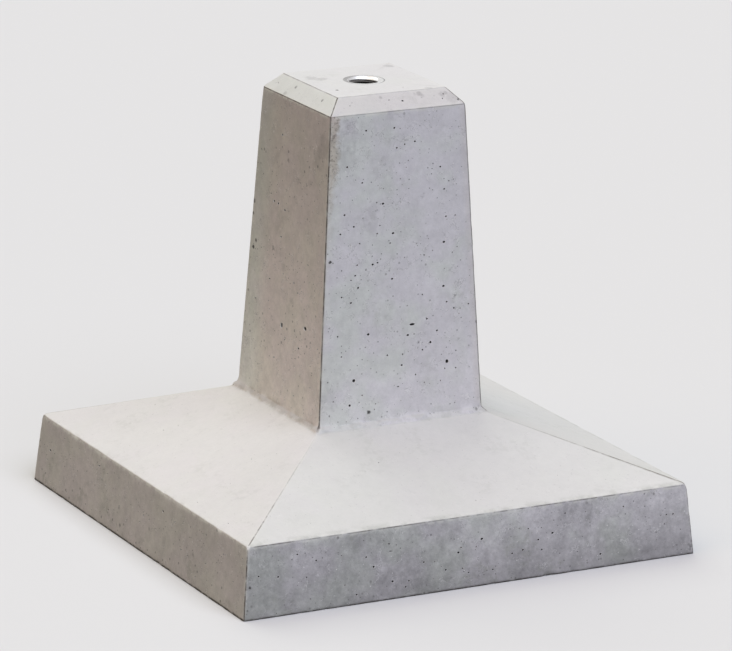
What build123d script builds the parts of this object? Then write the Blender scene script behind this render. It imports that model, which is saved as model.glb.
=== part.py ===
from build123d import *
from math import radians, tan
import os

# Precast concrete pier block for a deck post, with a threaded steel socket cast into its head.
# Millimetres, +Z up, origin at the centre of the underside, X and Y square to the sides.

# Pad: the wide foot of the block, with sides that lean in
PAD_WIDTH = 500.0
PAD_SIDE_HEIGHT = 72.0
PAD_DRAFT_DEG = 5.5
PAD_EDGE_RADIUS = 3.0

# Shoulder: the shallow hipped slope that climbs from the pad to the column
SHOULDER_RISE = 54.0
COVE_RADIUS = 8.0

# Column: tapers up from the shoulder to the head
COLUMN_HEIGHT = 314.0
COLUMN_DRAFT_DEG = 3.1

# Head: its level face has a chamfer all round
HEAD_WIDTH = 150.0
HEAD_CHAMFER = 15.0
HEAD_EDGE_RADIUS = 1.5

# Socket: turned from steel bar for an M30 x 3.5 thread, its bore drawn at the minor diameter
SOCKET_DIAMETER = 40.0
SOCKET_LENGTH = 105.0
SOCKET_TAIL_CHAMFER = 1.0
THREAD_MINOR_DIAMETER = 26.2
BORE_DEPTH = 62.0
MOUTH_DIAMETER = 34.0
DRILL_POINT_DEG = 118.0

# Anchor pin: a plain bar through the socket's tail, so that it can't turn or pull out
PIN_DIAMETER = 14.0
PIN_LENGTH = 110.0
PIN_CHAMFER = 1.0
PIN_CLEARANCE = 0.1
PIN_ABOVE_TAIL = 17.0

# Levels and half widths that follow from the sizes above
SHOULDER_TOP = PAD_SIDE_HEIGHT + SHOULDER_RISE
CHAMFER_START = SHOULDER_TOP + COLUMN_HEIGHT
HEAD_LEVEL = CHAMFER_START + HEAD_CHAMFER
PAD_HALF = PAD_WIDTH / 2
PAD_TOP_HALF = PAD_HALF - PAD_SIDE_HEIGHT * tan(radians(PAD_DRAFT_DEG))
HEAD_HALF = HEAD_WIDTH / 2
COLUMN_FOOT_HALF = HEAD_HALF + COLUMN_HEIGHT * tan(radians(COLUMN_DRAFT_DEG))
SOCKET_TAIL = HEAD_LEVEL - SOCKET_LENGTH
PIN_LEVEL = SOCKET_TAIL + PIN_ABOVE_TAIL


def upright_section():
    """The section through the middle of the block: across it in x, its height in y."""
    right = [
        (PAD_HALF, 0),
        (PAD_TOP_HALF, PAD_SIDE_HEIGHT),
        (COLUMN_FOOT_HALF, SHOULDER_TOP),
        (HEAD_HALF, CHAMFER_START),
        (HEAD_HALF - HEAD_CHAMFER, HEAD_LEVEL),
    ]
    left = [(-across, height) for across, height in reversed(right)]
    bends = [PAD_EDGE_RADIUS, COVE_RADIUS, HEAD_EDGE_RADIUS, HEAD_EDGE_RADIUS]
    sides = FilletPolyline(*right, *left, radius=bends + bends[::-1])
    underside = Line(left[-1], right[0])
    return make_face(sides + underside)


def cast_form():
    """The casting, solid through: one section run both ways, so its four sides mitre as the mould's do."""
    run = extrude(Plane.XZ * upright_section(), PAD_HALF, both=True)
    return run & run.rotate(Axis.Z, 90)


def socket_bar():
    """The outside of the socket, solid through, its mouth level with the head."""
    bar = Pos(0, 0, SOCKET_TAIL) * extrude(Circle(SOCKET_DIAMETER / 2), SOCKET_LENGTH)
    return chamfer(bar.edges().group_by(Axis.Z)[0], SOCKET_TAIL_CHAMFER)


def socket_bore():
    """The blind bore with its countersunk mouth and the point that the drill leaves."""
    bore_radius = THREAD_MINOR_DIAMETER / 2
    mouth_radius = MOUTH_DIAMETER / 2
    bore_floor = HEAD_LEVEL - BORE_DEPTH
    outline = Polyline(
        (0, HEAD_LEVEL),
        (mouth_radius, HEAD_LEVEL),
        (bore_radius, HEAD_LEVEL - (mouth_radius - bore_radius)),
        (bore_radius, bore_floor),
        (0, bore_floor - bore_radius / tan(radians(DRILL_POINT_DEG / 2))),
        close=True,
    )
    return revolve(Plane.XZ * make_face(outline), Axis.Z)


def cross_bar(diameter, length):
    """A round bar along X, through the socket's tail."""
    return Pos(0, 0, PIN_LEVEL) * Rot(0, 90, 0) * Cylinder(diameter / 2, length)


def threaded_socket():
    cross_hole = cross_bar(PIN_DIAMETER + 2 * PIN_CLEARANCE, SOCKET_DIAMETER)
    return socket_bar() - socket_bore() - cross_hole


def anchor_pin():
    pin = cross_bar(PIN_DIAMETER, PIN_LENGTH)
    return chamfer(pin.edges().filter_by(GeomType.CIRCLE), PIN_CHAMFER)


def concrete_block():
    """The casting, with the hollow that the socket and its pin fill."""
    return cast_form() - socket_bar() - anchor_pin()


os.makedirs("parts", exist_ok=True)
export_step(concrete_block(), "parts/concrete_block.step")
export_step(threaded_socket(), "parts/threaded_socket.step")
export_step(anchor_pin(), "parts/anchor_pin.step")
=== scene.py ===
import bpy
import bmesh
import random
from collections import namedtuple
from math import atan2, cos, hypot, pi, radians, sin, tan
from mathutils import Matrix, Vector, noise
from mathutils.geometry import delaunay_2d_cdt


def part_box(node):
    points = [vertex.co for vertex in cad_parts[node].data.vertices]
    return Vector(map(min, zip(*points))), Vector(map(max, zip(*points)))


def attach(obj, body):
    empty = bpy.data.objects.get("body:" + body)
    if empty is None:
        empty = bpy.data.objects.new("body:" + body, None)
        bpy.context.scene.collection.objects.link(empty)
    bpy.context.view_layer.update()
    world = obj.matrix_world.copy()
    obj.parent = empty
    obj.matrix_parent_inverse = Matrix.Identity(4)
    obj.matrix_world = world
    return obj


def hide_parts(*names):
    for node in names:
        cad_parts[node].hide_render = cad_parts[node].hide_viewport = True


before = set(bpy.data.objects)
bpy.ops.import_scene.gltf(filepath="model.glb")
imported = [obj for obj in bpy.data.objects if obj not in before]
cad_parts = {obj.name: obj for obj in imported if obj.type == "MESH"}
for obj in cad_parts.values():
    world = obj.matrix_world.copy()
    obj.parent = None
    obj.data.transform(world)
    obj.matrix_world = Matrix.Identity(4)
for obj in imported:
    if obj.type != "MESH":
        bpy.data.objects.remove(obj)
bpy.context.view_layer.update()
block_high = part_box("concrete_block")[1]
socket_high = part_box("threaded_socket")[1]

# Sizes of the block in metres, the overall ones from the frame
MM = 0.001
PAD_HALF = block_high.x
HEAD_LEVEL = block_high.z
PAD_SIDE_HEIGHT = 72 * MM
PAD_DRAFT = radians(5.5)
SHOULDER_TOP = PAD_SIDE_HEIGHT + 54 * MM
HEAD_HALF = 75 * MM
HEAD_CHAMFER = 15 * MM
CHAMFER_START = HEAD_LEVEL - HEAD_CHAMFER
COLUMN_DRAFT = radians(3.1)
PAD_TOP_HALF = PAD_HALF - PAD_SIDE_HEIGHT * tan(PAD_DRAFT)
COLUMN_FOOT_HALF = HEAD_HALF + (CHAMFER_START - SHOULDER_TOP) * tan(COLUMN_DRAFT)
SOCKET_RADIUS = socket_high.x

UP = Vector((0, 0, 1))

# The section that the four sides share, from the middle of the underside to the middle of the head
SECTION = [
    Vector((0, 0)),
    Vector((PAD_HALF, 0)),
    Vector((PAD_TOP_HALF, PAD_SIDE_HEIGHT)),
    Vector((COLUMN_FOOT_HALF, SHOULDER_TOP)),
    Vector((HEAD_HALF, CHAMFER_START)),
    Vector((HEAD_HALF - HEAD_CHAMFER, HEAD_LEVEL)),
    Vector((0, HEAD_LEVEL)),
]
SIDE_SPANS = ["pad", "slope", "column", "chamfer"]
SIDES = ["south", "east", "north", "west"]

# Bends of the section, from the ground up. Wear eats in and lines are dark, both given for the south,
# east, north and west side, and the lines have a profile across the bend. The dark lines are partly the
# mould's seams and partly painted shade, and the one along the ground is a painted contact shadow.
# Slurry fills the bend with a lumpy facet. A strip lists how far the rows beside the bend stand from it
# and how much of its wear they share, and a cell is the mesh's width there.
Bend = namedtuple("Bend", "radius profile strip wear lines slurry cell")
EDGE_STRIP = [(0.7 * MM, 0.7), (2.2 * MM, 0.25), (5 * MM, 0)]
FOOT_STRIP = [(0.8 * MM, 0.6), (2.5 * MM, 0.15), (6 * MM, 0)]
BENDS = [
    Bend(1.0 * MM, [1, 1, 1, 1, 1], EDGE_STRIP,
         [1.2, 1.2, 1.2, 1.6], [0.7, 0.7, 0.7, 0.95], 0, 4.0 * MM),
    Bend(1.8 * MM, [0.5, 1, 0.2, 0, 0], EDGE_STRIP,
         [0.9, 1.1, 1.3, 1.6], [0.9, 0.6, 0.4, 0.12], 0, 3.2 * MM),
    Bend(6.0 * MM, [0, 0, 0, 0, 0, 0], FOOT_STRIP, [0, 0, 0, 0], [0, 0, 0, 0], 1.8 * MM, 2.4 * MM),
    Bend(1.2 * MM, [1, 1, 1, 0.5, 0], EDGE_STRIP,
         [0.8, 0.8, 0.8, 0.7], [0.45, 0.5, 0.5, 0.85], 0, 2.6 * MM),
    Bend(1.2 * MM, [0.3, 1, 1, 1, 0.3], EDGE_STRIP,
         [0.5, 0.5, 0.5, 0.5], [0.4, 0.2, 0.2, 0.7], 0, 2.6 * MM),
]

# Arrises between two sides: each column of points turns round the arris or stands a margin inside it
Column = namedtuple("Column", "turn margin weight line")
ARRIS_COLUMNS = [
    Column(radians(45), 0, 1.0, 1), Column(radians(30), 0, 0.9, 1), Column(radians(15), 0, 0.65, 0.35),
    Column(0, 0, 0.4, 0), Column(0, 1.8 * MM, 0.12, 0), Column(0, 4.5 * MM, 0, 0),
]
ARRIS_RADIUS = 1.5 * MM
ARRIS_WEAR = 0.8
ARRIS_CELL = 3.0 * MM
# Dark lines along each span's arrises and at each corner: partly the mould's seams and partly painted shade
ARRIS_LINES = {"pad": (0.8, 0.9), "slope": (0.7, 0.05), "column": (0.95, 0.95), "chamfer": (1.0, 0.9)}
CORNER_LINES = [1.0, 1.7, 0.6, 0.6]

# Corners that have been knocked, or that slurry has clotted: where, how far the change reaches, where it
# pushes the skin and how pale it leaves it, and how far a pale knock passes for a hole's pale rim
KNOCK_RIM = 1.5
Knock = namedtuple("Knock", "place reach push pale")


def knock(bend, east, north, reach, push, pale=0.0):
    """A knock in millimetres at one bend's corner, east and north for 1, and west and south for -1."""
    across, height = SECTION[bend]
    return Knock(Vector((east * across, north * across, height)), reach * MM, Vector(push) * MM, pale)


KNOCKS = [
    knock(4, 1, -1, 5, (-0.7, 0.7, -0.2)),
    knock(4, -1, 1, 5, (0.5, -0.5, -0.4)),
    knock(2, 1, -1, 7, (-1.5, 1.5, -0.9)),
    knock(2, -1, -1, 5, (0.9, 0.9, -1.0), 1.0),
    knock(2, -1, 1, 6, (1.0, -1.0, -0.7), 0.1),
    knock(1, 1, 1, 12, (-2.6, -2.6, 2.2), 0.5),
    knock(3, -1, 1, 10, (-2.2, 2.2, -0.5)),
    knock(3, 1, -1, 7, (1.6, -0.6, 0)),
]

# Sizes of the features that wear and set slurry follow
GRIT_SIZE = 3 * MM
CHIP_SIZE = 13 * MM
CHIP_UNEVENNESS_SIZE = 5 * MM
LUMP_SIZE = 15 * MM
CRUMB_SIZE = 6 * MM

# Air holes on one face: how many, their least and most radius, and how strongly small ones prevail
Holes = namedtuple("Holes", "count least most small")
HOLES = {
    "pad": Holes(120, 0.4 * MM, 1.1 * MM, 3.0),
    "slope": Holes(24, 0.4 * MM, 0.8 * MM, 3.0),
    "column": Holes(150, 0.4 * MM, 0.95 * MM, 3.0),
    "chamfer": Holes(8, 0.4 * MM, 0.9 * MM, 2.0),
    "head": Holes(8, 0.4 * MM, 1.0 * MM, 2.0),
    "underside": Holes(90, 0.8 * MM, 2.5 * MM, 2.0),
}

# The form of a hole: its size at the halo round it, its size and depth down its bowl, and how far scattered
# holes are narrowed and deepened, all as shares
HOLE_CORNERS = 9
HOLE_HALO = 1.5
HOLE_RINGS = [(0.88, 0.35), (0.6, 0.9)]
HOLE_BOTTOM = 1.1
HOLE_UNEVENNESS = 0.16
HOLE_NARROWING = (0.75, 1.0)
HOLE_DEPTHS = (0.8, 1.6)
HOLE_CLEARANCE = 0.8 * MM
# How dark air holes are made inside, partly dirt and partly painted shade: fully from this radius, and at
# least this share
DARKEST_HOLE = 1.15 * MM
LEAST_DARKNESS = 0.35

# Holes that the photograph shows: how much wider than seen they are made, and depth as a share of radius
SEEN_GROWTH = 1.12
SEEN_HOLE_DEPTH = 1.4

# Flat fields of the skin: the spread of their points, and the faint waves that hollow them
FIELD_STEP = 14 * MM
FIELD_SHIFT = (0.2, 0.8)
FIELD_CLEARANCE = FIELD_STEP / 8
FIELD_TOLERANCE = 1e-5
EDGE_BULGE = 0.05
WAVE_SIZE = 60 * MM
WAVE_HEIGHT = 0.5 * MM
RANDOM_SEED = 7

# The angle from which an edge is shown sharp
SHARP_CONCRETE = radians(42)
SHARP_STEEL = radians(30)

# Thread of the socket, M30 x 3.5, the bore that it is cut in, and the feed that the rings were turned with
THREAD_PITCH = 3.5 * MM
THREAD_MAJOR_RADIUS = 15.0 * MM
THREAD_MINOR_RADIUS = 13.1 * MM
THREAD_FORM = [0, 0, 0, 0.5, 1, 1, 0.5]
THREAD_DEPTH = 56.0 * MM
MOUTH_RADIUS = 17.0 * MM
BORE_DEPTH = 62.0 * MM
DRILL_HALF_ANGLE = radians(59)
BORE_POINT = BORE_DEPTH + THREAD_MINOR_RADIUS / tan(DRILL_HALF_ANGLE)
TURNING_FEED = 0.5 * MM

# How near places count as the same, as level with the head and as on a circle, and how far from the axis
# the casting's hollow reaches at most
MERGE_REACH = MM / 1000
LEVEL_TOLERANCE = MM / 100
ROUND_TOLERANCE = MM / 20
CAVITY_REACH = 3 * SOCKET_RADIUS

# Camera fitted to the block's corners in the photograph
IMAGE_WIDTH = 732
IMAGE_HEIGHT = 651
FOCAL_PIXELS = 4872.5
CAMERA_AZIMUTH = radians(-27.525)
CAMERA_ELEVATION = radians(15.606)
CAMERA_ROLL = radians(0.916)
CAMERA_SHIFT_RIGHT = 9.12 * MM
CAMERA_SHIFT_UP = 193.80 * MM
CAMERA_DISTANCE = 4969.2 * MM
CAMERA_REACH = 100.0
SENSOR_WIDTH = 36.0

# Air holes that stand out in the photograph: pixel across, pixel down, width and height in millimetres, as
# seen
SEEN_HOLES = [
    (447.2, 361.3, 3, 3.8), (412.3, 324.4, 4.8, 2.4), (304.8, 328.8, 2.6, 3.8), (281.4, 325.2, 2, 5.2),
    (354, 381, 2.8, 3.2), (349.9, 405.8, 2.2, 2.4), (444, 242, 2.6, 2.2), (393.2, 233.3, 2.4, 2),
    (443.6, 286.1, 2.4, 2.2), (392.2, 278.9, 2.2, 1.8), (372.8, 264.7, 2.2, 2), (368.4, 334.5, 2.6, 2.2),
    (407.9, 335.2, 2.4, 2), (430.6, 342.2, 2.2, 2.4), (437.2, 330.5, 1.8, 2), (351.1, 303.1, 2, 1.8),
    (358.2, 288, 1.8, 2), (401.9, 365.2, 2, 1.8), (298.1, 348.5, 1.7, 2), (366.3, 130.8, 1.9, 1.7),
    (394.5, 128, 1.8, 1.8), (397, 148, 1.8, 1.6), (347.4, 167.3, 1.8, 1.8), (362.5, 183, 1.8, 1.6),
    (444.4, 189, 1.8, 1.6), (383.2, 203.8, 2.4, 2.2), (344.7, 215.3, 2, 1.8), (354, 227, 1.8, 1.8),
    (415.1, 141.3, 1.8, 1.6), (440.4, 166.8, 1.8, 1.6), (446, 216.3, 1.8, 1.6), (377.3, 233.8, 1.6, 1.6),
    (340.5, 234.6, 1.8, 1.6), (359.8, 243.8, 1.4, 1.4), (377.7, 262.8, 1.8, 1.5),
    (357.3, 265.3, 1.4, 1.6), (355.3, 275.9, 1.8, 1.6), (351.1, 280.4, 1.4, 1.4),
    (341.8, 297.6, 1.6, 1.6), (446.8, 301.8, 1.8, 1.6), (454, 308, 1.6, 1.8), (427, 318.9, 1.8, 1.6),
    (337.8, 336.9, 1.6, 1.6), (422.6, 349.9, 1.6, 1.8), (387.5, 355.4, 1.6, 1.6),
    (402.8, 354.3, 1.4, 1.6), (398.3, 386.6, 2.2, 1.2), (282.3, 134.8, 1.5, 2), (274.1, 201, 1.6, 2),
    (278.1, 203.4, 1.4, 1.8), (284.5, 210.3, 1.7, 2), (280.8, 236.8, 1.3, 1.8), (269.3, 278.7, 1.2, 1.6),
    (293.6, 283, 1.2, 1.6), (255.4, 298, 1.3, 1.4), (273.6, 357.2, 1.2, 1.6), (402.5, 100.7, 2.2, 1.6),
    (482, 539, 2.6, 2.2), (458.6, 552.6, 2.2, 2.2), (392.8, 581.5, 2.2, 2.2), (552.6, 533, 2.4, 2),
    (600.5, 554, 2.2, 2), (373.9, 567, 2, 2), (278.3, 577, 1.8, 1.8), (409, 581, 1.8, 1.4),
    (405.8, 587, 1.8, 1.6), (356.8, 594.8, 1.6, 1.8), (424, 562.2, 1.6, 1.8), (446, 570, 1.6, 2),
    (468.8, 572.6, 1.8, 1.6), (523, 550, 1.8, 1.8), (493, 569.5, 1.6, 1.6), (673.2, 514, 1.6, 1.4),
    (666.6, 514.7, 1.6, 1.4), (297.4, 554.5, 1.6, 1.6), (258.7, 576.7, 1.6, 1.6), (50, 450.3, 1.6, 2.4),
    (99.2, 465.8, 1.5, 1.8), (162.8, 511.3, 1.5, 2.2),
]

# Dark marks that stand out in the photograph, by face: pixel across, pixel down, radius in millimetres and
# how dark. Broad ones have a coarser outline, and the darkest are even in tone. Some of the darkest stand
# in for air holes that the mesh has no room for, painted dark as a hole's shade and dirt.
BROAD_MARK = 4
DARK_MARK = 0.9
SEEN_MARKS = {}
SEEN_MARKS["south", "head"] = [
    (389, 66, 6.5, 0.24), (403, 67, 4.5, 0.2), (312, 78, 8, 0.2), (321, 79, 7, 0.2), (297, 71, 5, 0.1),
    (337, 90, 2, 0.95), (428, 88, 5, 0.16), (444, 91, 4, 0.2),
]
SEEN_MARKS["west", "chamfer"] = [
    (295.8, 87.3, 2, 0.7), (322, 100.7, 2, 0.7), (285, 93, 3, 0.25),
]
SEEN_MARKS["south", "chamfer"] = [
    (419, 93.5, 3.6, 0.3), (422.5, 95.5, 2.2, 0.2), (414.5, 93.8, 2.2, 0.16), (442, 94.5, 3.8, 0.25),
    (445.5, 92.5, 2.4, 0.28), (452, 97, 9, 0.14), (458, 99.3, 1.7, 0.9), (380.5, 97.5, 2, 0.3),
]
SEEN_MARKS["south", "column"] = [
    (476, 409, 2.2, 0.75), (453, 412, 1.6, 0.4), (369, 412.3, 2.4, 0.98), (330.3, 262.3, 1.6, 0.98),
    (346, 138, 17, 0.13), (348, 126, 11, 0.12), (347, 158, 15, 0.11), (390, 115.5, 7, 0.13),
    (404.3, 113.6, 1.8, 0.4), (374, 211, 8, 0.1), (371, 227, 9, 0.1), (329, 398, 16, 0.13),
    (469.5, 182, 1.6, 0.6), (475.6, 284, 1.6, 0.5), (477, 321.5, 2.4, 0.7), (480.5, 374, 1.5, 0.6),
    (418.5, 342.3, 1.8, 0.3),
]
SEEN_MARKS["west", "column"] = [
    (254.4, 200.5, 3.4, 0.75), (253.4, 212.5, 2.2, 0.8), (255.8, 240.4, 2.5, 0.95),
    (253.4, 246.8, 2.5, 0.95), (288.2, 160.2, 3, 0.45), (273.2, 248.5, 3, 0.5), (323, 147, 16, 0.17),
    (318, 159, 13, 0.14), (298, 180.5, 5, 0.13), (309.5, 183.5, 5, 0.13), (276.9, 155.4, 6, 0.1),
    (292, 300.8, 5, 0.12), (283.4, 268.2, 5, 0.1), (311, 388, 20, 0.09),
]
SEEN_MARKS["south", "pad"] = [
    (249.7, 588, 1.6, 0.9), (247.5, 611, 1.2, 0.7), (338, 537.8, 1.7, 0.6), (431, 534.8, 1.5, 0.6),
    (644.5, 493.6, 1.6, 0.6), (653.8, 493.8, 1.6, 0.6), (574, 497.5, 1.5, 0.5), (586.6, 502.8, 1.8, 0.4),
    (571, 510, 3.2, 0.25), (424.4, 593, 1.5, 0.6), (313.8, 610.8, 1.5, 0.6), (691, 546, 2.2, 0.5),
    (688.5, 544.5, 1.8, 0.4), (691.5, 541, 1.6, 0.4), (690, 549, 2, 0.4), (683, 539, 3, 0.2),
    (385, 583, 15, 0.1), (412, 584, 17, 0.13),
]
SEEN_MARKS["west", "pad"] = [
    (118.7, 507.8, 2.2, 0.35), (119.5, 525.4, 3, 0.28), (149, 529, 2.4, 0.35), (192.8, 554.7, 2.4, 0.35),
    (93, 465.3, 1.8, 0.3), (164.2, 540.8, 5, 0.12), (179.6, 538, 5, 0.1), (172.3, 555.5, 5, 0.1),
    (192, 568.7, 6, 0.1), (43.5, 416, 1.8, 0.6), (217, 530.5, 1.7, 0.5),
]

# A point of the section on each of these faces, and how far the face leans back
FACE_POINTS = {
    "head": (SECTION[6], pi / 2),
    "chamfer": (SECTION[4], pi / 4),
    "column": (SECTION[4], COLUMN_DRAFT),
    "pad": (SECTION[1], PAD_DRAFT),
}


def camera_axes():
    """Right, up and back of the camera in the block's frame."""
    right = Vector((cos(CAMERA_AZIMUTH), sin(CAMERA_AZIMUTH), 0))
    back = Vector((
        sin(CAMERA_AZIMUTH) * cos(CAMERA_ELEVATION),
        -cos(CAMERA_AZIMUTH) * cos(CAMERA_ELEVATION),
        sin(CAMERA_ELEVATION),
    ))
    up = back.cross(right)
    rolled_right = right * cos(CAMERA_ROLL) + up * sin(CAMERA_ROLL)
    rolled_up = up * cos(CAMERA_ROLL) - right * sin(CAMERA_ROLL)
    return rolled_right, rolled_up, back


def camera_place():
    right, up, back = camera_axes()
    return back * CAMERA_DISTANCE + right * CAMERA_SHIFT_RIGHT + up * CAMERA_SHIFT_UP


def new_object(name, data):
    """A new object, linked into the scene."""
    made = bpy.data.objects.new(name, data)
    bpy.context.scene.collection.objects.link(made)
    return made


def make_camera():
    data = bpy.data.cameras.new("camera")
    data.sensor_width = SENSOR_WIDTH
    data.lens = FOCAL_PIXELS / IMAGE_WIDTH * SENSOR_WIDTH
    data.clip_end = CAMERA_REACH
    camera = new_object("camera", data)
    turn = Matrix(camera_axes()).transposed().to_4x4()
    camera.matrix_world = Matrix.Translation(camera_place()) @ turn
    bpy.context.scene.camera = camera


def pixel_ray(across, down):
    """The direction in which the camera sees one pixel of the photograph."""
    right, up, back = camera_axes()
    return right * (across - IMAGE_WIDTH / 2) + up * (IMAGE_HEIGHT / 2 - down) - back * FOCAL_PIXELS


def seen_place(across, down, origin, normal):
    """The place on a plane that the camera sees at one pixel of the photograph."""
    start, ray = camera_place(), pixel_ray(across, down)
    return start + ray * (origin - start).dot(normal) / ray.dot(normal)


def seen_plane(face):
    """A place on one of the faces that the photograph shows, and the direction that it faces."""
    side, span = face
    point, lean = FACE_POINTS[span]
    out, _ = side_axes(SIDES.index(side))
    return out * point.x + UP * point.y, out * cos(lean) + UP * sin(lean)


# Rows of the casting's mesh follow its section, and columns follow its sides

Row = namedtuple("Row", "across height out weight line arris wear lines slurry")


def outward(heading):
    """The direction out of the casting, beside a heading along its section."""
    return Vector((heading.y, -heading.x))


def bend_rows(index):
    """Rows of points along the section round one bend."""
    bend = BENDS[index - 1]
    corner = SECTION[index]
    arriving = (corner - SECTION[index - 1]).normalized()
    leaving = (SECTION[index + 1] - corner).normalized()
    first_heading = atan2(arriving.y, arriving.x)
    turn = atan2(arriving.cross(leaving), arriving.dot(leaving))
    side = 1 if turn > 0 else -1
    reach = bend.radius * tan(abs(turn) / 2)
    start = corner - arriving * reach
    end = corner + leaving * reach
    centre = start - outward(arriving) * bend.radius * side
    lines = [0, 0] + [value for span in SIDE_SPANS for value in ARRIS_LINES[span]] + [0, 0]
    below, above = lines[2 * index - 1], lines[2 * index]
    same = (bend.wear, bend.lines, bend.slurry)
    rows = []
    for margin, weight in bend.strip[::-1]:
        rows.append(Row(*(start - arriving * margin), outward(arriving), weight, 0, below, *same))
    for step, line in enumerate(bend.profile):
        share = step / (len(bend.profile) - 1)
        heading = first_heading + turn * share
        out = Vector((sin(heading), -cos(heading)))
        place = start.lerp(end, share) if bend.slurry else centre + out * bend.radius * side
        rows.append(Row(*place, out, 1, line, below + (above - below) * share, *same))
    for margin, weight in bend.strip:
        rows.append(Row(*(corner + leaving * (reach + margin)), outward(leaving), weight, 0, above, *same))
    return rows


def span_rows(index):
    """Rows up one flat span between two bends, where only the arris strips have points."""
    low, high = bend_rows(index)[-1], bend_rows(index + 1)[0]
    start, end = Vector((low.across, low.height)), Vector((high.across, high.height))
    count = max(2, round((end - start).length / ARRIS_CELL))
    places = [start.lerp(end, step / count) for step in range(1, count)]
    rows = []
    for step, place in enumerate(places, start=1):
        arris = low.arris + (high.arris - low.arris) * step / count
        rows.append(low._replace(across=place.x, height=place.y, weight=0, line=0, arris=arris, slurry=0))
    return rows


def side_axes(side):
    """The outward and the along direction of a side, south first and then anticlockwise from above."""
    turn = Matrix.Rotation(side * pi / 2, 3, "Z")
    return turn @ Vector((0, -1, 0)), turn @ Vector((1, 0, 0))


def within(least, value):
    """The value, kept from that least up to 1."""
    return min(1, max(least, value))


def chipping(place):
    """How far wear has eaten into an edge here, as a share of the most."""
    grit = 0.5 + 0.5 * noise.noise(place / GRIT_SIZE)
    chip = within(0, (noise.noise(place / CHIP_SIZE + Vector((31, 7, 3))) - 0.2) / 0.3)
    return 0.16 * grit + 0.84 * chip * (0.55 + 0.45 * noise.noise(place / CHIP_UNEVENNESS_SIZE))


def slurry_lumps(place):
    """How far set slurry stands out of the foot's cove here, as a share of the most."""
    broad = noise.noise(place / LUMP_SIZE + Vector((5, 11, 2)))
    small = noise.noise(place / CRUMB_SIZE + Vector((3, 1, 8)))
    swell = within(0, 0.45 + 1.3 * broad + 0.25 * small)
    return swell * swell * (3 - 2 * swell) - 0.1


def knocked(place):
    """Where a place ends up when its corner has been knocked, and how pale the knock leaves it."""
    for change in KNOCKS:
        near = 1 - (place - change.place).length / change.reach
        if near > 0:
            return place + change.push * near * near, change.pale * near
    return place, 0.0


# Air holes, placed on a flat field in the field's own two directions

Hole = namedtuple("Hole", "place across along depth tilt")


def hole_radius(hole):
    return max(hole.across, hole.along)


def mouth_reach(radius):
    """How far the mouth of a hole of that radius reaches at most, with its halo."""
    return (1 + HOLE_UNEVENNESS) * HOLE_HALO * radius


def hole_ring(hole, share):
    """Corners round an uneven hole, at a share of its size."""
    corners = []
    for step in range(HOLE_CORNERS):
        angle = 2 * pi * step / HOLE_CORNERS
        spot = Vector((hole.place.x / MM + cos(angle), hole.place.y / MM + sin(angle), 0))
        uneven = share * (1 + HOLE_UNEVENNESS * noise.noise(spot))
        reach = Vector((hole.across * cos(angle), hole.along * sin(angle))) * uneven
        reach.rotate(Matrix.Rotation(hole.tilt, 2))
        corners.append(hole.place + reach)
    return corners


def round_pairs(loop):
    """Each of a closed loop with the next."""
    return zip(loop, loop[1:] + loop[:1])


def inside_loop(place, loop):
    """Whether a place is inside a closed loop of places."""
    inside = False
    for first, second in round_pairs(loop):
        if (first.y > place.y) != (second.y > place.y):
            share = (place.y - first.y) / (second.y - first.y)
            if place.x < first.x + share * (second.x - first.x):
                inside = not inside
    return inside


def in_mouth(spot, holes, mouths):
    """Whether a spot is in the mouth of one of the holes."""
    for hole, (ring, _) in zip(holes, mouths):
        if (spot - hole.place).length < mouth_reach(hole_radius(hole)) and inside_loop(spot, ring):
            return True
    return False


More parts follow.
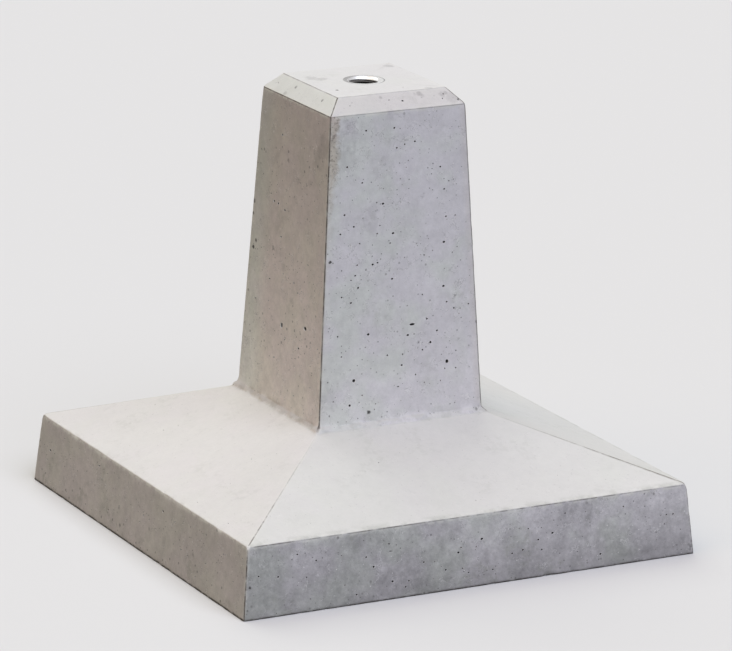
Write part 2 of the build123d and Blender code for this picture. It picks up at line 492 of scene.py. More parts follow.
class Field:
    """A flat part of the skin, with its own origin and directions, four corners and maybe a round gap."""

    def __init__(self, name, side, origin, run, up, corners, gap):
        self.name = name
        self.side = side
        self.origin = origin
        self.run = run
        self.up = up
        self.normal = run.cross(up).normalized()
        self.corners = [self.flat(corner) for corner in corners]
        self.gap = gap
        first, second, third = self.corners[:3]
        self.sense = 1 if (second - first).cross(third - second) > 0 else -1
        self.holes = []

    def flat(self, place):
        """The spot on the field of a place in space."""
        offset = place - self.origin
        return Vector((offset.dot(self.run), offset.dot(self.up)))

    def inset(self, spot):
        """How far a spot lies inside the field."""
        insets = []
        for first, second in round_pairs(self.corners):
            insets.append((second - first).normalized().cross(spot - first) * self.sense)
        if self.gap:
            insets.append(spot.length - self.gap)
        return min(insets)

    def solid(self, spot, sunk=0.0):
        """The place in space of a spot on the field, in its faint hollows and sunk below them."""
        place = self.origin + self.run * spot.x + self.up * spot.y
        hollow = WAVE_HEIGHT * (0.5 + 0.5 * noise.noise(place / WAVE_SIZE))
        return place - self.normal * (hollow * within(0, self.inset(spot) / FIELD_STEP) + sunk)

    def free(self, spot, radius):
        """Whether a hole of that radius fits at the spot, with its halo."""
        reach = mouth_reach(radius) + HOLE_CLEARANCE
        if self.inset(spot) < reach:
            return False
        for hole in self.holes:
            if (spot - hole.place).length < reach + mouth_reach(hole_radius(hole)):
                return False
        return True

    def bulged(self, spot):
        """A spot on the field's edge pushed out a little, so that no three on one edge lie in line."""
        centre = sum(self.corners, Vector((0, 0))) / len(self.corners)
        reach = max((corner - centre).length for corner in self.corners)
        share = ((spot - centre).length / reach) ** 2
        return centre + (spot - centre) * (1 + EDGE_BULGE * (1 - share))

    def add_seen_holes(self):
        """The air holes that the photograph shows on this field."""
        if SIDES[self.side] not in ("south", "west") or self.name == "underside":
            return
        slant = self.run.dot(camera_axes()[0])
        for across, down, width, height in SEEN_HOLES:
            spot = self.flat(seen_place(across, down, self.origin, self.normal))
            half_width = width / 2 * SEEN_GROWTH * MM / abs(slant)
            half_height = height / 2 * SEEN_GROWTH * MM
            radius = max(half_width, half_height)
            if self.free(spot, radius):
                self.holes.append(Hole(spot, half_width, half_height, SEEN_HOLE_DEPTH * radius, 0))

    def add_scattered_holes(self):
        setting = HOLES[self.name]
        low, high = self.extent()
        for _ in range(setting.count):
            radius = setting.least + (setting.most - setting.least) * random.random() ** setting.small
            spot = Vector((random.uniform(low.x, high.x), random.uniform(low.y, high.y)))
            stretch = random.uniform(*HOLE_NARROWING)
            depth = radius * random.uniform(*HOLE_DEPTHS)
            tilt = random.uniform(0, pi)
            if self.free(spot, radius):
                self.holes.append(Hole(spot, radius, radius * stretch, depth, tilt))

    def extent(self):
        """The low and the high corner of the box round the field."""
        across, up = zip(*self.corners)
        return Vector((min(across), min(up))), Vector((max(across), max(up)))

    def spots(self):
        """Loosely spread spots over the field, clear of its edges and holes."""
        low, high = self.extent()
        across_count = int((high.x - low.x) / FIELD_STEP)
        up_count = int((high.y - low.y) / FIELD_STEP)
        spots = []
        for across in range(across_count):
            for up in range(up_count):
                shift = Vector((across + random.uniform(*FIELD_SHIFT), up + random.uniform(*FIELD_SHIFT)))
                spot = low + shift * FIELD_STEP
                if self.free(spot, FIELD_CLEARANCE):
                    spots.append(spot)
        return spots


def join(mesh, lower, upper):
    """Quads between two lines of as many points."""
    for corners in zip(lower, lower[1:], upper[1:], upper):
        mesh.faces.new(corners)


def join_round(mesh, lower, upper):
    """Quads between two closed loops of as many points."""
    join(mesh, lower + lower[:1], upper + upper[:1])


def fan(mesh, ring, point):
    """Triangles between a closed loop of points and one point."""
    for first, second in round_pairs(ring):
        mesh.faces.new((first, second, point))


class Casting:
    """The casting's skin in one mesh: strips round every edge, and fields with air holes between."""

    def __init__(self):
        self.mesh = bmesh.new()
        layers = self.mesh.verts.layers
        names = ["hole", "line", "wear", "rim", "foot"]
        self.hole, self.line, self.wear, self.rim, self.foot = [layers.float.new(name) for name in names]
        self.home = layers.float_vector.new("home")

    def point(self, home, hole=0.0, line=0.0, wear=0.0, rim=0.0):
        """A point of the skin. It keeps its home, the place that it had before any knock."""
        place, pale = knocked(home)
        vertex = self.mesh.verts.new(place)
        vertex[self.home] = home
        vertex[self.hole] = hole
        vertex[self.line] = line * (1 - pale)
        vertex[self.wear] = wear
        vertex[self.rim] = max(rim, KNOCK_RIM * pale)
        return vertex

    def edge_point(self, side, row, along, column):
        """One point on an edge strip, eaten in by wear or built out by slurry."""
        out, run = side_axes(side)
        across = row.across - ARRIS_RADIUS + ARRIS_RADIUS * cos(column.turn)
        place = out * across + run * along + UP * row.height
        sign = 1 if along > 0 else -1
        level_out = out * cos(column.turn) + run * sin(column.turn) * sign
        normal = level_out * row.out.x + UP * row.out.y
        worn = row.weight * row.wear[side]
        eaten = max(worn, column.weight * ARRIS_WEAR) * MM * chipping(place)
        built = row.slurry * row.weight * slurry_lumps(place) if row.slurry else 0
        place += normal.normalized() * (built - eaten)
        corner = side if along < 0 else (side + 1) % len(SIDES)
        line = max(row.line * row.lines[side], min(1, row.arris * column.line * CORNER_LINES[corner]))
        wear = max(worn if row.slurry else row.weight, column.weight)
        point = self.point(place, 0, line, wear)
        point[self.foot] = row.weight if row.slurry else 0
        return point

    def arris_points(self, side, row, sign):
        """Points from an arris inwards: the left arris of the side for sign -1, the right for 1."""
        points = []
        for column in ARRIS_COLUMNS:
            along = row.across - ARRIS_RADIUS + ARRIS_RADIUS * sin(column.turn) - column.margin
            points.append(self.edge_point(side, row, sign * along, column))
        return points

    def ring(self, row, cells):
        """All points of one row, side by side: left arris, the cells between, right arris."""
        lefts = [self.arris_points(side, row, -1) for side in range(len(SIDES))]
        plain = Column(0, 0, 0, 0)
        reach = row.across - ARRIS_RADIUS - ARRIS_COLUMNS[-1].margin
        sides = []
        for side, left in enumerate(lefts):
            right = self.arris_points(side, row, 1)
            self.mesh.verts.remove(right[0])
            right[0] = lefts[(side + 1) % len(SIDES)][0]
            alongs = [reach * (2 * step / cells - 1) for step in range(1, cells)]
            middle = [self.edge_point(side, row, along, plain) for along in alongs]
            sides.append({"left": left, "middle": middle, "right": right[::-1]})
        return sides

    def build(self):
        rings = {}
        for index in range(1, len(SECTION) - 1):
            cells = round(2 * SECTION[index].x / BENDS[index - 1].cell)
            rings[index] = [self.ring(row, cells) for row in bend_rows(index)]
            for low, high in zip(rings[index], rings[index][1:]):
                for side in range(len(SIDES)):
                    join(self.mesh, whole(low[side]), whole(high[side]))
        for index, name in enumerate(SIDE_SPANS, start=1):
            self.build_span(index, name, rings[index][-1], rings[index + 1][0])
        self.build_level("underside", rings[1][0], Vector((0, -1, 0)), [])
        self.build_level("head", rings[len(SECTION) - 2][-1], Vector((0, 1, 0)), self.add_cavity())

    def build_span(self, index, name, low_ring, high_ring):
        """One span of the section on all four sides: arris strips and the flat field between them."""
        between = [self.ring(row, 1) for row in span_rows(index)]
        rows = [low_ring, *between, high_ring]
        for low, high in zip(rows, rows[1:]):
            for side in range(len(SIDES)):
                for end in ("left", "right"):
                    join(self.mesh, low[side][end], high[side][end])
        climb = (SECTION[index + 1] - SECTION[index]).normalized()
        for side in range(len(SIDES)):
            out, run = side_axes(side)
            up = out * climb.x + UP * climb.y
            origin = out * SECTION[index].x + UP * SECTION[index].y
            low, high = low_ring[side], high_ring[side]
            corners = [low["left"][-1], low["right"][0], high["right"][0], high["left"][-1]]
            loop = [corners[0], *low["middle"], corners[1]]
            loop += [row[side]["right"][0] for row in between]
            loop += [corners[2], *high["middle"][::-1], corners[3]]
            loop += [row[side]["left"][-1] for row in between[::-1]]
            homes = [corner[self.home] for corner in corners]
            self.fill(Field(name, side, origin, run, up, homes, 0), loop, [])

    def build_level(self, name, ring, up, rim):
        """The level field of the underside or the head."""
        loop = [point for side in ring for point in whole(side)[:-1]]
        corners = [side["left"][0][self.home].copy() for side in ring]
        gap = SOCKET_RADIUS if rim else 0
        field = Field(name, 0, UP * corners[0].z, Vector((1, 0, 0)), up, corners, gap)
        self.fill(field, loop, rim)

    def fill(self, field, loop, rim):
        """Triangles across a flat field, round its air holes."""
        field.add_seen_holes()
        field.add_scattered_holes()
        vertices = loop + rim
        spots = [field.bulged(field.flat(vertex[self.home])) for vertex in loop]
        spots += [field.flat(vertex.co) for vertex in rim]
        edges = chain(0, len(loop)) + chain(len(loop), len(rim))
        mouths = []
        for hole in field.holes:
            ring = hole_ring(hole, HOLE_HALO)
            mouth = [self.point(field.solid(spot)) for spot in ring]
            edges += chain(len(vertices), len(mouth))
            vertices += mouth
            spots += ring
            mouths.append((ring, mouth))
        for spot in field.spots():
            vertices.append(self.point(field.solid(spot)))
            spots.append(spot)
        places = [spot / MM for spot in spots]
        made = delaunay_2d_cdt(places, edges, [list(range(len(loop)))], 1, FIELD_TOLERANCE, True)
        sources = [ids[0] for ids in made[3]]
        for face in made[2]:
            corners = [sources[i] for i in face]
            centre = sum((spots[i] for i in corners), Vector((0, 0))) / len(corners)
            in_gap = rim and centre.length < SOCKET_RADIUS * cos(pi / len(rim))
            if not in_gap and not in_mouth(centre, field.holes, mouths):
                self.mesh.faces.new([vertices[i] for i in corners])
        for hole, (_, mouth) in zip(field.holes, mouths):
            self.sink_hole(field, hole, mouth)

    def sink_hole(self, field, hole, mouth):
        """The bowl of one air hole, with the flat ring between it and the field."""
        # Painted shade in the bowl and a painted highlight on the rim, stronger for wider holes
        dark = within(LEAST_DARKNESS, hole_radius(hole) / DARKEST_HOLE)
        ring = [self.point(field.solid(spot), rim=dark) for spot in hole_ring(hole, 1)]
        join_round(self.mesh, mouth, ring)
        for share, sink in HOLE_RINGS:
            places = [field.solid(spot, sink * hole.depth) for spot in hole_ring(hole, share)]
            lower = [self.point(place, dark) for place in places]
            join_round(self.mesh, ring, lower)
            ring = lower
        fan(self.mesh, ring, self.point(field.solid(hole.place, hole.depth * HOLE_BOTTOM), dark))

    def add_cavity(self):
        """Copies the hollow that the socket and its pin fill from the frame, and returns its rim."""
        def in_cavity(places):
            level = all(at_head_level(place) for place in places)
            near = all(from_axis(place) < CAVITY_REACH and place.z > SHOULDER_TOP for place in places)
            return near and not level

        made = copy_faces(self.mesh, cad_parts["concrete_block"].data, in_cavity)
        return round_rim(made, SOCKET_RADIUS)


def whole(side):
    """One side's points of a ring, from its left arris to its right."""
    return [*side["left"], *side["middle"], *side["right"]]


def chain(first, count):
    """Edges that close a loop of points numbered from first on."""
    return [(first + i, first + (i + 1) % count) for i in range(count)]


def at_head_level(place):
    return abs(place.z - HEAD_LEVEL) < LEVEL_TOLERANCE


def from_axis(place):
    """How far a place is from the upright axis."""
    return hypot(place.x, place.y)


def copy_faces(mesh, source, wanted):
    """Copies the wanted faces of a frame node into a mesh, with one point where several lie together."""
    made = {}
    for face in source.polygons:
        places = [source.vertices[i].co for i in face.vertices]
        if not wanted(places):
            continue
        corners = []
        for place in places:
            key = tuple(round(value / MM, 3) for value in place)
            if key not in made:
                made[key] = mesh.verts.new(place)
            if made[key] not in corners:
                corners.append(made[key])
        if len(corners) > 2:
            mesh.faces.new(corners)
    return list(made.values())


def round_rim(vertices, radius):
    """The vertices at head level on a circle of that radius, in order round it."""
    level = [vertex for vertex in vertices if at_head_level(vertex.co)]
    rim = [vertex for vertex in level if abs(from_axis(vertex.co) - radius) < ROUND_TOLERANCE]
    return sorted(rim, key=lambda vertex: atan2(vertex.co.y, vertex.co.x))


def finished_piece(mesh, name, material, sharp_angle):
    """Turns a bmesh into a smooth shaded object that rides on the one body."""
    bmesh.ops.remove_doubles(mesh, verts=mesh.verts, dist=MERGE_REACH)
    bmesh.ops.recalc_face_normals(mesh, faces=mesh.faces)
    data = bpy.data.meshes.new(name)
    mesh.to_mesh(data)
    mesh.free()
    data.shade_smooth()
    data.set_sharp_from_angle(angle=sharp_angle)
    data.materials.append(material)
    piece = new_object(name, data)
    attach(piece, "root")
    return piece


def make_casting(material):
    random.seed(RANDOM_SEED)
    casting = Casting()
    casting.build()
    piece = finished_piece(casting.mesh, "cast_block", material, SHARP_CONCRETE)
    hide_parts("concrete_block")


def thread_place(index, angle):
    """A point of the threaded bore. Points of one index run round the bore on a helix of constant form."""
    steps = len(THREAD_FORM)
    depth = (index / steps - (angle + pi) / (2 * pi)) * THREAD_PITCH
    depth = min(BORE_DEPTH, max(0, depth))
    form = THREAD_FORM[index % steps] if depth < THREAD_DEPTH else 0
    cut = THREAD_MINOR_RADIUS + (THREAD_MAJOR_RADIUS - THREAD_MINOR_RADIUS) * form
    radius = max(cut, MOUTH_RADIUS - depth)
    return Vector((radius * cos(angle), radius * sin(angle), HEAD_LEVEL - depth))


def make_socket(material):
    """The socket: its outside from the frame, with a true helical thread in place of the plain bore."""
    def outside(places):
        widest, lowest = MOUTH_RADIUS + ROUND_TOLERANCE, HEAD_LEVEL - BORE_POINT - MM
        return not all(from_axis(place) < widest and place.z > lowest for place in places)

    mesh = bmesh.new()
    made = copy_faces(mesh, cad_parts["threaded_socket"].data, outside)
    angles = [atan2(vertex.co.y, vertex.co.x) for vertex in round_rim(made, MOUTH_RADIUS)]
    steps = len(THREAD_FORM)
    last = round(BORE_DEPTH / THREAD_PITCH * steps) + 2 * steps
    grid = {}
    for index in range(-steps, last + 1):
        grid[index] = [mesh.verts.new(thread_place(index, angle)) for angle in angles]
    for index in range(last):
        upper, lower = [grid[turn] + grid[turn - steps][:1] for turn in (index, index + 1)]
        join(mesh, upper, lower)
    fan(mesh, grid[last], mesh.verts.new((0, 0, HEAD_LEVEL - BORE_POINT)))
    piece = finished_piece(mesh, "socket", material, SHARP_STEEL)
    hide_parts("threaded_socket")


# Short calls that build the node tree of a material or world


def empty_tree(owner):
    """The node tree of a material or world, emptied."""
    owner.use_nodes = True
    owner.node_tree.nodes.clear()
    return owner.node_tree


def add(kind, inputs=None, output=0, tree=None, **settings):
    """A shader node with its inputs set or linked, in their tree or the one given. Returns an output."""
    inputs = inputs or {}
    linked = {key: value for key, value in inputs.items() if isinstance(value, bpy.types.NodeSocket)}
    tree = tree or next(iter(linked.values())).id_data
    node = tree.nodes.new("ShaderNode" + kind)
    for key, value in settings.items():
        setattr(node, key, value)
    for key, value in inputs.items():
        if key in linked:
            tree.links.new(value, node.inputs[key])
        else:
            node.inputs[key].default_value = value
    return node.outputs[output] if node.outputs else node


def split(vector):
    """The three parts of a vector or colour."""
    return add("SeparateXYZ", {0: vector}).node.outputs


def mix(share, first, second, blend="MIX"):
    return add("Mix", {0: share, 6: first, 7: second}, 2, data_type="RGBA", blend_type=blend)


def tint(share, tone, colour):
    """A tone multiplied by a colour, to a share."""
    return mix(share, tone, colour, "MULTIPLY")


def maths(operation, first, second=0.0, third=0.0):
    return add("Math", {0: first, 1: second, 2: third}, operation=operation)


def times(product, *others):
    for value in others:
        product = maths("MULTIPLY", product, value)
    return product


def stray(value, pattern, reach):
    """A value that strays to both sides with a pattern."""
    return maths("MULTIPLY_ADD", maths("SUBTRACT", pattern, 0.5), reach, value)


def ramp(value, low, high, to_low=0.0, to_high=1.0):
    """Maps a value from one range to another, smoothly and clamped."""
    inputs = {"Value": value, "From Min": low, "From Max": high, "To Min": to_low, "To Max": to_high}
    return add("MapRange", inputs, interpolation_type="SMOOTHSTEP")


def clouds(place, size, detail=3.0, rough=0.55):
    """Noise whose features are about size metres across."""
    return add("TexNoise", {"Vector": place, "Scale": 1 / size, "Detail": detail, "Roughness": rough})


def off_axis(across, along):
    """How far a place is from the upright axis."""
    return add("VectorMath", {0: add("CombineXYZ", {0: across, 1: along})}, 1, operation="LENGTH")


def surface(inputs, height, strength, distance):
    """The material's shader, with a bump from a height."""
    bump = add("Bump", {"Height": height, "Strength": strength, "Distance": distance})
    shader = add("BsdfPrincipled", {**inputs, "Normal": bump})
    add("OutputMaterial", {"Surface": shader})


def shade(level, warm=0.0):
    """A grey of that linear level, a little warm above zero and cool below."""
    return (level * (1 + warm), level, level * (1 - warm), 1)


# Colours of the concrete's stains and wear, and tints that its tone is multiplied by
STAIN = (0.27, 0.28, 0.225, 1)
SMUDGE = (0.33, 0.34, 0.29, 1)
WORN = (0.80, 0.79, 0.72, 1)
# Pale specks and chips, and also the painted highlight on air holes' rims and beside wriggles
PALE = shade(0.88, 0.02)
WEST_CHAMFER = (0.70, 0.71, 0.675, 1)
LILAC_TINT = (1.02, 0.988, 1.035, 1)
GREEN_TINT = (0.975, 1.008, 0.955, 1)
BORDER_TINT = (0.985, 0.965, 0.94, 1)
WEST_TINT = (1.02, 1.0, 1.0, 1)
NORTH_WEST_TINT = (0.99, 1.05, 1.045, 1)
SLOPE_TINT = (0.99, 1.007, 0.993, 1)
BAND_TINT = (0.85, 0.775, 0.695, 1)
# Painted shade on the west foot's facet
WEST_FOOT_SHADE = (0.82, 0.80, 0.79, 1)


class Concrete:
    """Light grey cast concrete: clouded, mottled and specked, with dark lines along its arrises."""

    def __init__(self):
        self.material = bpy.data.materials.new("concrete")
        self.tree = empty_tree(self.material)
        self.place = add("TexCoord", output=3, tree=self.tree)
        self.across, self.along, self.height = split(self.place)
        self.from_middle = [maths("ABSOLUTE", part) for part in (self.across, self.along)]
        self.drop = maths("SUBTRACT", CHAMFER_START, self.height)
        east, _, upward = split(add("NewGeometry", output=1, tree=self.tree))
        self.leaning_west = ramp(east, -0.1, -0.25)
        self.off_west = ramp(self.leaning_west, 1, 0)
        self.facing_west = ramp(east, -0.5, -0.9)
        self.facing_up = ramp(upward, 0.3, 0.8)
        self.upright = ramp(self.facing_up, 0.6, 0.2)
        self.pad_side = times(self.by_height(PAD_SIDE_HEIGHT, 0, -3), ramp(upward, 0.6, 0.3))
        self.mottle = clouds(self.place, 18 * MM, 4, 0.6)
        self.blotch = self.pattern(0.19, 8, 4, 0.65)
        self.fine = clouds(self.place, 3.5 * MM, 4, 0.6)
        self.grain = clouds(self.place, 0.9 * MM, 2, 0.6)

    def attribute(self, name):
        """A value that the mesh keeps at its points."""
        return add("Attribute", output=2, tree=self.tree, attribute_name=name)

    def shifted(self, offset):
        """Places for a pattern that isn't to repeat another one."""
        return add("VectorMath", {0: self.place, 1: (offset, offset / 2, -offset)}, operation="ADD")

    def pattern(self, offset, size, detail=3.0, rough=0.55):
        """Noise of its own offset, whose features are about size millimetres across."""
        return clouds(self.shifted(offset), size * MM, detail, rough)

    def by_height(self, level, start, end, to_start=0.0, to_end=1.0):
        """Changes with height, from start to end in millimetres above a level."""
        return ramp(self.height, level + start * MM, level + end * MM, to_start, to_end)

    def by_side(self, elsewhere, west):
        """One value on the west side and another elsewhere."""
        return ramp(self.facing_west, 0, 1, elsewhere, west)

    def by_lean(self, upright, level):
        """One value on upright faces and another on faces that look up."""
        return ramp(self.facing_up, 0, 1, upright, level)

    def by_arris(self, start, full, strength):
        """A mask along the column's arrises, stronger on the east: where it starts, where it is full."""
        share = ramp(self.arris_distance(), start * MM, full * MM, 0, strength)
        to_east = ramp(self.across, -HEAD_HALF, HEAD_HALF, 0.3, 1)
        return times(share, to_east, self.upright, self.by_height(SHOULDER_TOP, 4, 12))

    def arris_distance(self):
        """How far a place on the column is from the nearest arris, along its side."""
        half_width = maths("MULTIPLY_ADD", self.drop, tan(COLUMN_DRAFT), HEAD_HALF)
        return maths("SUBTRACT", half_width, maths("MINIMUM", *self.from_middle))

    def surface_tones_and_painted_light(self):
        """The tone of each face: darker on the pad's sides, and on the west side towards the head. The west
        faces are warm as painted warm light, the pad's west and south sides are set apart as painted light,
        and the slope darkens next to the column as painted shadow except on the west.
        """
        climb = ramp(self.height, SHOULDER_TOP, CHAMFER_START)
        south_column = mix(climb, shade(0.705, 0.01), shade(0.735, 0.005))
        # Warm as painted warm light, and darker towards the head
        warm_lit_west_column = mix(climb, shade(0.70, 0.07), shade(0.55, 0.075))
        column = mix(self.facing_west, south_column, warm_lit_west_column)
        to_east = ramp(self.across, -0.8 * PAD_HALF, PAD_HALF)
        south_pad_top = mix(to_east, shade(0.52, 0.015), shade(0.65, 0.015))
        south_pad = mix(ramp(self.height, 0, PAD_SIDE_HEIGHT), shade(0.42, 0.02), south_pad_top)
        # The pad's west side set apart from its south side as painted light, and warm as painted warm light
        pad = mix(self.facing_west, south_pad, shade(0.59, 0.06))
        # Painted shadow: the slope's top next to the column is darker except on the west
        shaded_slope_top = mix(self.leaning_west, shade(0.62, 0.035), shade(0.67, 0.03))
        slope = mix(self.by_height(SHOULDER_TOP, -30, 0), shade(0.66, 0.03), shaded_slope_top)
        chamfer = mix(self.leaning_west, shade(0.64, 0.04), WEST_CHAMFER)
        head = mix(self.by_height(HEAD_LEVEL, -1.5, 0), chamfer, shade(0.66, 0.012))
        sides = mix(self.pad_side, column, pad)
        return mix(self.facing_up, sides, mix(climb, slope, head))

    def clouded(self, tone):
        """Soft clouds, mottling and grain, calm on faces that look up and strong on the pad's sides."""
        total = maths("MULTIPLY_ADD", clouds(self.place, 80 * MM), 0.24, -0.12)
        patterns = ((self.mottle, 0.30), (self.blotch, 0.26), (self.fine, 0.20), (self.grain, 0.12))
        for pattern, depth in patterns:
            total = stray(total, pattern, depth)
        column, pad = self.by_side(0.9, 1.1), self.by_side(2.3, 1.15)
        strength = times(ramp(self.pad_side, 0, 1, column, pad), self.by_lean(1, 0.32))
        level = maths("MULTIPLY_ADD", total, strength, 1.0)
        return add("VectorMath", {0: tone, "Scale": level}, operation="SCALE")

    def tinted(self, tone):
        """Broad patches that lean to lilac or green, and tints of the column's borders and the slope."""
        drift = self.by_side(ramp(self.across, -HEAD_HALF, HEAD_HALF, 0.05, -0.1), 0)
        leaning = maths("ADD", self.pattern(0.37, 50), drift)
        patches = mix(ramp(leaning, 0.38, 0.66), LILAC_TINT, GREEN_TINT)
        tone = tint(times(self.by_lean(0.7, 0.15), self.by_side(1, 0.6)), tone, patches)
        tone = tint(self.by_arris(11, 3, 0.9), tone, BORDER_TINT)
        to_north = ramp(self.along, 0.4 * HEAD_HALF, HEAD_HALF)
        on_west = times(self.facing_west, self.by_height(SHOULDER_TOP, 0, 9), self.upright)
        tone = tint(on_west, tone, mix(to_north, WEST_TINT, NORTH_WEST_TINT))
        on_slope = times(self.facing_up, self.by_height(SHOULDER_TOP, 5, 0), self.off_west)
        return tint(on_slope, tone, SLOPE_TINT)

    def banded(self, tone):
        """A warm dirty band south of the column's south-west arris, strongest below the head."""
        away = stray(self.arris_distance(), self.mottle, 16 * MM)
        away = stray(away, self.blotch, 10 * MM)
        away = maths("MULTIPLY_ADD", self.drop, 0.06, away)
        on_west_end = ramp(self.across, -0.2 * HEAD_HALF, -0.5 * HEAD_HALF)
        on_south = times(ramp(self.along, -0.9 * HEAD_HALF, -0.95 * HEAD_HALF),
                         ramp(self.facing_west, 0.6, 0), self.upright)
        upper = self.by_height(CHAMFER_START, -110, -50, 0.2, 1)
        lower = self.by_height(SHOULDER_TOP, 90, 20, 0, 0.35)
        share = times(ramp(away, 14 * MM, 8 * MM), on_west_end, on_south, maths("ADD", upper, lower),
                      self.by_height(SHOULDER_TOP, 0, 8))
        tone = tint(share, tone, BAND_TINT)
        crumbs = ramp(self.fine, 0.52, 0.62, 0, 0.55)
        return mix(times(share, crumbs), tone, shade(0.16, 0.2))

    def stained_and_shaded(self, tone):
        """Grey green stains in groups, dirt at the column's foot, the slope's edge and its hips, and
        painted shade on the upper part of the west foot's facet.
        """
        groups = ramp(self.pattern(0.71, 45, 2), 0.52, 0.66)
        crumbs = ramp(self.pattern(0.83, 8, 4, 0.65), 0.45, 0.62)
        strength = self.by_lean(ramp(self.pad_side, 0, 1, 0.14, 0.32), 0.10)
        tone = mix(times(groups, strength, crumbs), tone, STAIN)
        foot = self.attribute("foot")
        smudge = ramp(self.pattern(0.29, 16, 2, 0.5), 0.5, 0.62, 0, 0.2)
        tone = mix(times(foot, smudge), tone, SMUDGE)
        # Painted shade: the upper part of the west foot's facet takes the column's shaded tone, with a
        # ragged lower edge
        ragged_height = stray(self.height, self.blotch, 9 * MM)
        shaded = ramp(ragged_height, SHOULDER_TOP - 0.6 * MM, SHOULDER_TOP + 1.6 * MM)
        tone = tint(times(shaded, foot, self.leaning_west), tone, WEST_FOOT_SHADE)
        by_edge = self.by_height(PAD_SIDE_HEIGHT, 3.0, 0.4, 0, 0.32)
        patches = ramp(self.pattern(0.33, 26, 4, 0.6), 0.44, 0.58)
        tone = mix(times(by_edge, self.facing_up, self.off_west, patches), tone, SMUDGE)
        off_hip = maths("ABSOLUTE", maths("SUBTRACT", *self.from_middle))
        on_hip = times(ramp(off_hip, 4.5 * MM, 1 * MM), ramp(self.facing_up, 0.5, 0.9),
                       ramp(self.across, 0.1 * PAD_HALF, 0.2 * PAD_HALF))
        fading = ramp(self.height, SHOULDER_TOP - 10 * MM, PAD_SIDE_HEIGHT, 0.12, 0.75)
        flakes = ramp(self.blotch, 0.38, 0.58, 0.25, 1)
        return mix(times(on_hip, fading, flakes), tone, shade(0.2, 0.1))

    def dots(self, offset, size, radius, rarity):
        """A mask of scattered round dots, each in its own cell. Size and radius are in millimetres."""
        inputs = {"Vector": self.shifted(offset), "Scale": 1 / (size * MM), "Randomness": 1.0}
        distance = add("TexVoronoi", inputs)
        chance, spread, _ = split(distance.node.outputs["Color"])
        reach = ramp(spread, 0, 1, 0.5 * radius / size, radius / size)
        inside = ramp(maths("DIVIDE", distance, reach), 1.0, 0.6)
        return times(inside, ramp(chance, rarity, rarity + 0.02))

    def marked(self, tone):
        """Specks, crumbs and short wriggling marks too small for the mesh, each wriggle with a pale line
        beside it as a painted highlight.
        """
        calm = self.by_lean(1, 0.22)
        small = times(self.dots(0.11, 4.5, 0.85, 0.58), 0.8)
        large = times(self.dots(0.23, 11, 1.5, 0.45), 0.45)
        wide = times(self.dots(0.41, 9, 2.0, 0.78), self.by_side(0, 0.55))
        dark = maths("MAXIMUM", maths("MAXIMUM", small, large), wide)
        tone = mix(times(dark, calm), tone, shade(0.14, 0.05))
        tone = mix(times(self.dots(0.31, 6, 0.9, 0.62), 0.7, calm), tone, PALE)
        swirl = self.pattern(0.47, 10, 3, 0.6)
        patches = ramp(self.pattern(0.53, 16, 2), 0.50, 0.62)
        # A dark wriggle, and a pale line just beside it as a painted highlight that makes it look raised
        for middle, strength, colour in ((0.5, 0.28, shade(0.2, 0.03)), (0.53, 0.35, PALE)):
            off_middle = maths("ABSOLUTE", maths("SUBTRACT", swirl, middle))
            share = times(ramp(off_middle, 0.02, 0.004), patches, calm, strength)
            tone = mix(share, tone, colour)
        return tone

    def spotted(self, tone):
        """The dark marks that stand out in the photograph."""
        uneven = ramp(self.fine, 0.34, 0.54, 0.5, 1)
        for face, marks in SEEN_MARKS.items():
            origin, normal = seen_plane(face)
            for across, down, radius, darkness in marks:
                centre = seen_place(across, down, origin, normal)
                away = add("VectorMath", {0: self.place, 1: centre}, 1, operation="DISTANCE")
                away = stray(away, self.blotch if radius > BROAD_MARK else self.fine, 2.2 * radius * MM)
                share = ramp(away, 1.15 * radius * MM, 0.4 * radius * MM, 0, darkness)
                if darkness < DARK_MARK:
                    share = times(share, uneven)
                tone = mix(share, tone, shade(0.07, 0.05))
        return tone

    def edged(self, tone):
        """Pale worn edges, and the dark lines along arrises, partly seams and partly painted shade, broken
        up a little, with painted shade along the column's arrises and a painted contact shadow at the
        ground.
        """
        flakes = ramp(self.pattern(0.61, 9, 4, 0.6), 0.42, 0.58)
        worn = ramp(self.attribute("wear"), 0.02, 0.5, 0, self.by_side(0.5, 0.75))
        worn = times(worn, self.by_lean(1, 0.4), self.by_height(0, 4, 14), flakes)
        tone = mix(worn, tone, WORN)
        least = self.by_height(SHOULDER_TOP, 0, 20, 0.3, 0.65)
        broken = ramp(clouds(self.place, 12 * MM, 4, 0.65), 0.36, 0.56, least, 1.1)
        faint = ramp(self.pattern(0.91, 60, 2), 0.38, 0.52, 0.65, 1)
        # Dark lines along arrises and bends: partly the mould's seams and partly painted shade
        tone = mix(times(self.attribute("line"), broken, faint), tone, shade(0.085, 0.18))
        # Painted shade along the column's arrises, stronger on the east
        tone = mix(self.by_arris(2.4, 1.0, 0.5), tone, shade(0.16, 0.06))
        # Painted contact shadow along the ground, stronger on the west
        ground = self.by_height(0, 3.2, 1.2, 0, self.by_side(0.35, 0.8))
        return mix(times(ground, broken), tone, shade(0.05, 0.1))

    def pitted(self, tone):
        """Air holes dark inside, partly dirt and partly painted shade, with a pale rim as painted
        highlight, and the joint round the socket darkened as painted shade.
        """
        # Painted highlight on air holes' rims, and pale wear on knocked corners
        tone = mix(ramp(self.attribute("rim"), 0.3, 1.0, 0, 0.6), tone, PALE)
        # Air holes dark inside, partly dirt and partly painted shade
        tone = mix(ramp(self.attribute("hole"), 0.0, 1.0, 0, 0.95), tone, shade(0.05, 0.05))
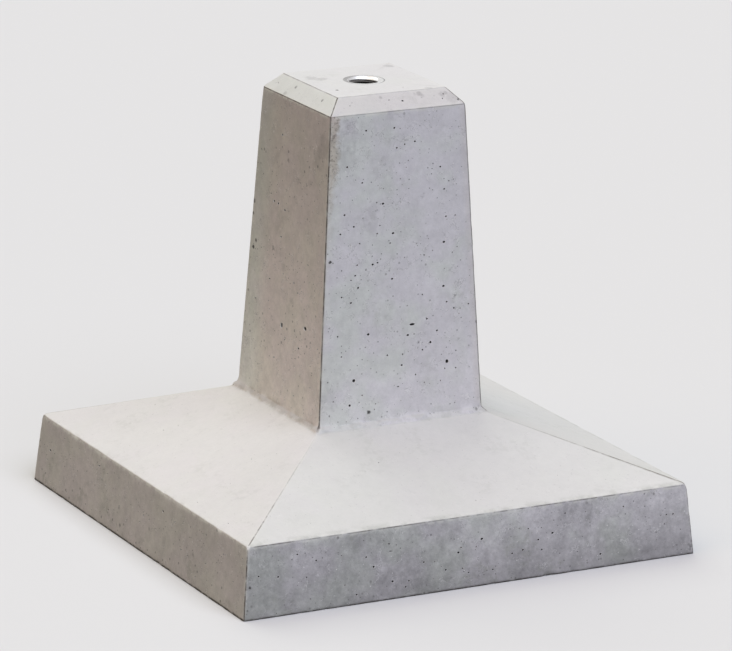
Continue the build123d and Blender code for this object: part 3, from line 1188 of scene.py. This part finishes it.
        # The joint round the socket, darkened as painted shade in its narrow gap, more behind the socket
        joint = ramp(off_axis(self.across, self.along), SOCKET_RADIUS + 1.6 * MM, SOCKET_RADIUS)
        north_east = maths("ADD", self.across, self.along)
        behind = ramp(north_east, -SOCKET_RADIUS, 0.3 * SOCKET_RADIUS, 0.35, 1.0)
        on_head = self.by_height(HEAD_LEVEL, -5, -2, 0, behind)
        return mix(times(joint, on_head), tone, shade(0.12, 0.03))

    def finished(self):
        tone = self.surface_tones_and_painted_light()
        first_steps = (self.clouded, self.tinted, self.banded, self.stained_and_shaded)
        last_steps = (self.marked, self.edged, self.spotted, self.pitted)
        for step in first_steps + last_steps:
            tone = step(tone)
        rough = ramp(self.mottle, 0.3, 0.7, 0.78, 0.92)
        height = maths("MULTIPLY_ADD", self.fine, 0.6, times(self.grain, 0.4))
        inputs = {"Base Color": tone, "Roughness": rough, "Specular IOR Level": 0.3}
        surface(inputs, height, 0.4, 0.6 * MM)
        return self.material


def steel_material(name, level, roughness):
    """Turned steel with fine rings round its axis and a little staining, with painted shade on the
    north-west of its face where the turned rings reflect less, and rougher and dark down its bore, partly
    oiled steel and partly painted shade that deepens with depth.
    """
    material = bpy.data.materials.new(name)
    place = add("TexCoord", output=3, tree=empty_tree(material))
    across, along, height = split(place)
    radius = off_axis(across, along)
    depth = maths("SUBTRACT", HEAD_LEVEL, height)
    in_bore = times(ramp(radius, 16.5 * MM, 15.5 * MM), ramp(depth, 2.2 * MM, 2.8 * MM))
    stain = clouds(place, 5 * MM, 4, 0.6)
    tone = mix(ramp(stain, 0.4, 0.75), shade(level), shade(level * 0.62, 0.04))
    # Painted shade on the north-west of the socket's face, where its turned rings reflect less
    to_north_west = maths("SUBTRACT", across, times(along, 0.5))
    reflection_shade = ramp(to_north_west, 0.0, -18 * MM, 0.12, 0.75)
    on_face = ramp(depth, 0.3 * MM, 0.1 * MM)
    tone = mix(times(on_face, reflection_shade), tone, shade(level * 0.28, 0.03))
    # Dark down the bore, partly oiled steel and partly painted shade that deepens with depth
    bore_shade = mix(ramp(depth, 3 * MM, 6 * MM), shade(level * 0.22, 0.05), shade(level * 0.04, 0.05))
    tone = mix(in_bore, tone, bore_shade)
    rough = ramp(stain, 0.3, 0.7, roughness, roughness + 0.16)
    rough = maths("MULTIPLY_ADD", in_bore, 0.2, rough)
    rings = maths("SINE", times(radius, 2 * pi / TURNING_FEED))
    surface({"Base Color": tone, "Metallic": 1.0, "Roughness": rough}, rings, 0.12, 0.05 * MM)
    return material


# The stage: a pale floor and world, and soft lamps

FLOOR_RADIUS = 30.0
FLOOR_DROP = 0.1 * MM
FLOOR_SHOWN = (0.706, 0.702, 0.699, 1)
FLOOR_BOUNCE = (0.10, 0.10, 0.10, 1)
WORLD_SHOWN = (0.775, 0.765, 0.78, 1)
WORLD_LIGHT = (1.08, 1.0, 0.9, 1)
WORLD_STRENGTH = 0.22

# Soft suns: the azimuth that they shine from, clockwise from south seen from above, strength and colour
LAMPS = {
    "south_light": (0, 2.17, (0.79, 0.845, 1.0)),
    "north_light": (180, 1.14, (0.95, 1.0, 0.93)),
    "west_light": (90, 0.56, (1.0, 0.76, 0.52)),
}
LAMP_ELEVATION = radians(55)
LAMP_SOFTNESS = radians(50)


def shown_ray(tree):
    """1 for rays that show a surface to the camera, straight, in gloss or through glass, and else 0."""
    path = add("LightPath", tree=tree).node
    straight = maths("MAXIMUM", path.outputs["Is Camera Ray"], path.outputs["Is Glossy Ray"])
    return maths("MAXIMUM", straight, path.outputs["Is Transmission Ray"])


def make_floor():
    material = bpy.data.materials.new("floor")
    tone = mix(shown_ray(empty_tree(material)), FLOOR_BOUNCE, FLOOR_SHOWN)
    add("OutputMaterial", {"Surface": add("BsdfDiffuse", {"Color": tone})})
    mesh = bmesh.new()
    bmesh.ops.create_circle(mesh, cap_ends=True, segments=96, radius=FLOOR_RADIUS)
    data = bpy.data.meshes.new("floor")
    mesh.to_mesh(data)
    mesh.free()
    data.materials.append(material)
    floor = new_object("floor", data)
    floor.location.z = -FLOOR_DROP


def make_world():
    world = bpy.data.worlds.new("studio")
    tree = empty_tree(world)
    shown = add("Background", {"Color": WORLD_SHOWN, "Strength": 1.0}, tree=tree)
    light = add("Background", {"Color": WORLD_LIGHT, "Strength": WORLD_STRENGTH}, tree=tree)
    add("OutputWorld", {"Surface": add("MixShader", {0: shown_ray(tree), 1: light, 2: shown})})
    bpy.context.scene.world = world


def make_lights():
    for name, (azimuth, strength, colour) in LAMPS.items():
        data = bpy.data.lights.new(name, "SUN")
        data.energy = strength
        data.color = colour
        data.angle = LAMP_SOFTNESS
        turn = radians(azimuth)
        level = Vector((-sin(turn), -cos(turn), 0)) * cos(LAMP_ELEVATION)
        source = level + Vector((0, 0, sin(LAMP_ELEVATION)))
        lamp = new_object(name, data)
        lamp.rotation_mode = "QUATERNION"
        lamp.rotation_quaternion = source.to_track_quat("Z", "Y")


make_camera()
make_world()
make_lights()
make_floor()
make_casting(Concrete().finished())
make_socket(steel_material("socket_steel", 0.82, 0.3))
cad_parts["anchor_pin"].material_slots[0].material = steel_material("pin_steel", 0.45, 0.4)
bpy.context.scene.view_settings.view_transform = "Standard"
